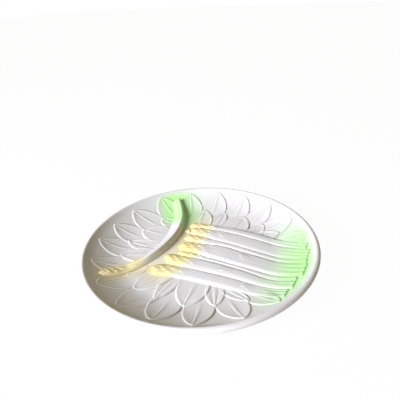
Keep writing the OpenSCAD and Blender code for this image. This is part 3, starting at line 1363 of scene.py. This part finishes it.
GROUND = (Slot.WHITE, Slot.LEAF)
BUNDLE = (Slot.SPEAR,)
STALK = (Slot.STALK,)
SPRAYS = (
    Spray(Tint.YELLOW, (-43, 24), (-8, 18), 10, 28, 0.88, BUNDLE),
    Spray(Tint.YELLOW, (-8, 18), (44, 24), 9, 26, 0.85, BUNDLE),
    Spray(Tint.YELLOW, (-46, 22), (46, 24), 4, 26, 0.5, GROUND),
    Spray(Tint.YELLOW, (-73, 67), (-50, 52), 6, 24, 0.8, STALK),
    Spray(Tint.YELLOW, (-75, 66), (-45, 46), 4, 24, 0.42, GROUND),
    Spray(Tint.GREEN, (52, 54), (76, 74), 6, 26, 0.8, STALK + GROUND),
    Spray(Tint.GREEN, (62, 52), (84, 72), 6, 42, 0.4, GROUND),
    Spray(Tint.GREEN, (34, 37), (62, 49), 2, 11, 0.5, STALK + GROUND),
    Spray(Tint.GREEN, (-30, -118), (8, -120), 8, 56, 0.66, GROUND + BUNDLE),
    Spray(Tint.GREEN, (8, -120), (56, -104), 10, 50, 0.66, GROUND + BUNDLE),
)


@dataclass(frozen=True)
class Glaze:
    """A clear glossy glaze over white slip, with the sprayed tints under it.

    The tints are wiped off between two radii at the rim, and the glaze between two heights at
    the foot. A fine grain scatters the tints and takes the edge off the gloss.
    """

    slot: Slot
    rim_wipe: tuple[float, float] = (110, 120)
    foot_wipe: tuple[float, float] = (0.25, 0.45)
    white: Colour = colour(229, 227, 226)
    yellow: Colour = colour(245, 231, 162)
    green: Colour = colour(182, 248, 144)
    # Deeper tones where the glaze pools in creases; they also stand for the painted shade there
    white_pool_and_shade: Colour = colour(184, 175, 160)
    yellow_pool_and_shade: Colour = colour(196, 162, 90)
    green_pool_and_shade: Colour = colour(120, 200, 96)
    clay: Colour = colour(226, 206, 180)
    roughness: float = 0.09
    clay_roughness: float = 0.7
    smear: float = 0.05
    smear_grain: float = 3.0
    grain: float = 2.0
    refraction: float = 1.5
    drift: float = 3.5
    speckle: float = 0.12
    speckle_levels: tuple[float, float] = (0.3, 0.7)
    # How far pooled glaze and painted shade deepen the white and the tints
    pool_and_shade_share: float = 0.65
    tinted_pool_and_shade_share: float = 0.8
    ripple: float = 0.05
    ripple_h: float = 0.002

    def material(self) -> bpy.types.Material:
        """Builds the finish.

        Returns:
            The material.
        """
        shader = Shader(bpy.data.materials.new(self.slot.value))
        coords = shader.add("ShaderNodeTexCoord", {}, out="Object")
        x, y, z = (shader.add("ShaderNodeSeparateXYZ", {}, coords, out=axis) * (1 / MM)
                   for axis in "XYZ")
        drift = shader.grain(coords, self.grain) * (2 * self.drift) - self.drift
        x, y = x + drift, y - drift
        underside = shader.add("ShaderNodeAttribute", {"attribute_name": UNDERSIDE}, out="Fac")
        wiped = (1 - (x * x + y * y).root().eased(*self.rim_wipe)) * (1 - underside)
        bare_foot = 1 - z.eased(*self.foot_wipe)
        shares = {tint: self.covered(tint, x, y) * wiped for tint in Tint}
        base = self.tinted(shader, coords, shares)
        shader.feed("Base Color", shader.mix(bare_foot.clamped(), base, self.clay))
        rough = shader.grain(coords, self.smear_grain) * self.smear
        shader.feed("Roughness", rough + self.roughness + bare_foot * self.clay_roughness)
        normal = shader.add("ShaderNodeBump", {}, self.ripple, self.ripple_h, None,
                            shader.grain(coords, self.grain))
        shader.feed("Normal", normal)
        shader.feed("IOR", self.refraction)
        return shader.owner

    def tinted(self, shader: Shader, coords: Value, shares: dict[Tint, Value]) -> Value:
        """The glaze's colour, deeper where it pools, which also paints shade into creases and
        hollows.

        Args:
            shader: the finish's nodes.
            coords: places in metres.
            shares: how much of each tint lies there.

        Returns:
            The colour.
        """
        pool_and_shade = shader.add("ShaderNodeAttribute", {"attribute_name": POOL_AND_SHADE}, out="Fac").clamped()
        speckle = shader.grain(coords, self.grain).eased(*self.speckle_levels)
        uneven = speckle * self.speckle + (1 - self.speckle / 2)
        # Pooled glaze and painted shade deepen the white and each tint
        base = shader.mix(pool_and_shade * self.pool_and_shade_share, self.white, self.white_pool_and_shade)
        for tint, plain, deep in ((Tint.YELLOW, self.yellow, self.yellow_pool_and_shade),
                                  (Tint.GREEN, self.green, self.green_pool_and_shade)):
            tone = shader.mix(pool_and_shade * self.tinted_pool_and_shade_share, plain, deep)
            base = shader.mix((shares[tint] * uneven).clamped(), base, tone)
        return base

    def covered(self, tint: Tint, x: Value, y: Value) -> Value:
        """How much of one tint all its passes leave.

        Args:
            tint: the tint.
            x: a place's distance to the right.
            y: its distance towards the well.

        Returns:
            A share from 0 to 1.
        """
        bare: "Value | float" = 1.0
        for spray in SPRAYS:
            if spray.tint is tint and self.slot in spray.on:
                bare = (1 - spray.mask(x, y)) * bare
        return 1 - bare


@dataclass
class Studio:
    """Pale floor, window, dim room and camera."""

    eye: tuple[float, float, float] = (-299.7, -169.66, 261.58)
    right: tuple[float, float, float] = (0.45449, -0.88898, -0.05618)
    down: tuple[float, float, float] = (-0.45286, -0.17629, -0.87397)
    forward: tuple[float, float, float] = (0.76704, 0.42265, -0.48271)
    focal_share: float = 1.0
    sensor: float = 36.0
    nearest: float = 0.01
    floor_size: float = 8
    floor_tone: Colour = colour(240, 238, 236)
    floor_roughness: float = 0.7
    floor_glow: float = 0.97
    window_place: tuple[float, float, float] = (-1.262, 0.671, 0.668)
    window_size: float = 0.65
    window_power: float = 56.0
    window_tone: tuple[float, float, float] = (0.82, 0.86, 0.985)
    room_tone: Colour = (1.0, 0.72, 0.12, 1.0)
    room_light: float = 0.15

    def camera(self) -> None:
        """Sets up the camera at the photograph's angle."""
        data = bpy.data.cameras.new("camera")
        data.sensor_width = self.sensor
        data.lens = self.sensor * self.focal_share
        data.clip_start = self.nearest
        camera = add_object("camera", data)
        axes = Matrix([self.right, [-v for v in self.down], [-v for v in self.forward]])
        camera.matrix_world = Matrix.Translation(Vector(self.eye) * MM) @ axes.transposed().to_4x4()
        bpy.context.scene.camera = camera

    def floor(self) -> None:
        """Lays the pale floor."""
        bpy.ops.object.select_all(action="DESELECT")
        bpy.ops.mesh.primitive_plane_add(size=self.floor_size)
        floor = bpy.context.object
        floor.name = "floor"
        shader = Shader(bpy.data.materials.new("floor_paper"))
        shader.feed("Base Color", self.floor_tone)
        shader.feed("Roughness", self.floor_roughness)
        shader.look_white("ShaderNodeEmission", self.floor_glow)
        floor.data.materials.append(shader.owner)

    def window(self) -> None:
        """Hangs a square soft lamp at the plate's left that looks at its middle."""
        data = bpy.data.lights.new("window", "AREA")
        data.size = self.window_size
        data.energy = self.window_power
        data.color = self.window_tone
        lamp = add_object("window", data)
        lamp.location = self.window_place
        lamp.rotation_euler = (-Vector(self.window_place)).to_track_quat("-Z", "Y").to_euler()

    def room(self) -> None:
        """Fills the room with dim warm light, and shows it as white to the camera and in gloss."""
        shader = Shader(bpy.data.worlds.new("room"))
        bpy.context.scene.world = shader.owner
        shader.feed("Color", self.room_tone)
        shader.feed("Strength", self.room_light)
        shader.look_white("ShaderNodeBackground", 1.0)

    def build(self) -> None:
        """Sets the whole studio up."""
        self.camera()
        self.floor()
        self.window()
        self.room()
        bpy.context.scene.view_settings.view_transform = "Standard"


def dress(piece: bpy.types.Object, node: str, glaze: bpy.types.Material, slot: Slot) -> None:
    """Glazes a piece, fixes it to the plate and puts it in its node's place.

    Args:
        piece: the piece.
        node: the node that it stands for.
        glaze: its material.
        slot: the record's slot for it; not used.
    """
    piece.data.materials.append(glaze)
    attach(piece, ROOT)
    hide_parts(node)
    log.info("%s: %d faces", piece.name, len(piece.data.polygons))


def slot_of(node: str) -> Slot:
    """The slot that a node's finish comes from.

    Args:
        node: the node's name.

    Returns:
        The slot.
    """
    if "leaf" in node:
        return Slot.LEAF
    return {BODY: Slot.WHITE, "sauce_divider": Slot.STALK}.get(node, Slot.SPEAR)


def main() -> None:
    """Builds the plate and its studio."""
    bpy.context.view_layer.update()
    Studio().build()
    low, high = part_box(BODY)
    coupe = Coupe(radius=(high.x - low.x) / 2 / MM, rim_top=high.z / MM)
    forms = Garden(coupe).forms()
    glazes = {slot: Glaze(slot).material() for slot in Slot}
    pieces = {BODY: coupe.build("glazed_body")}
    for i, form in enumerate(forms):
        pieces[form.node] = form.build(forms[:i])
    for node, piece in pieces.items():
        dress(piece, node, glazes[slot_of(node)], slot_of(node))


if __name__ == "__main__":
    logging.basicConfig(level=logging.INFO)
    main()
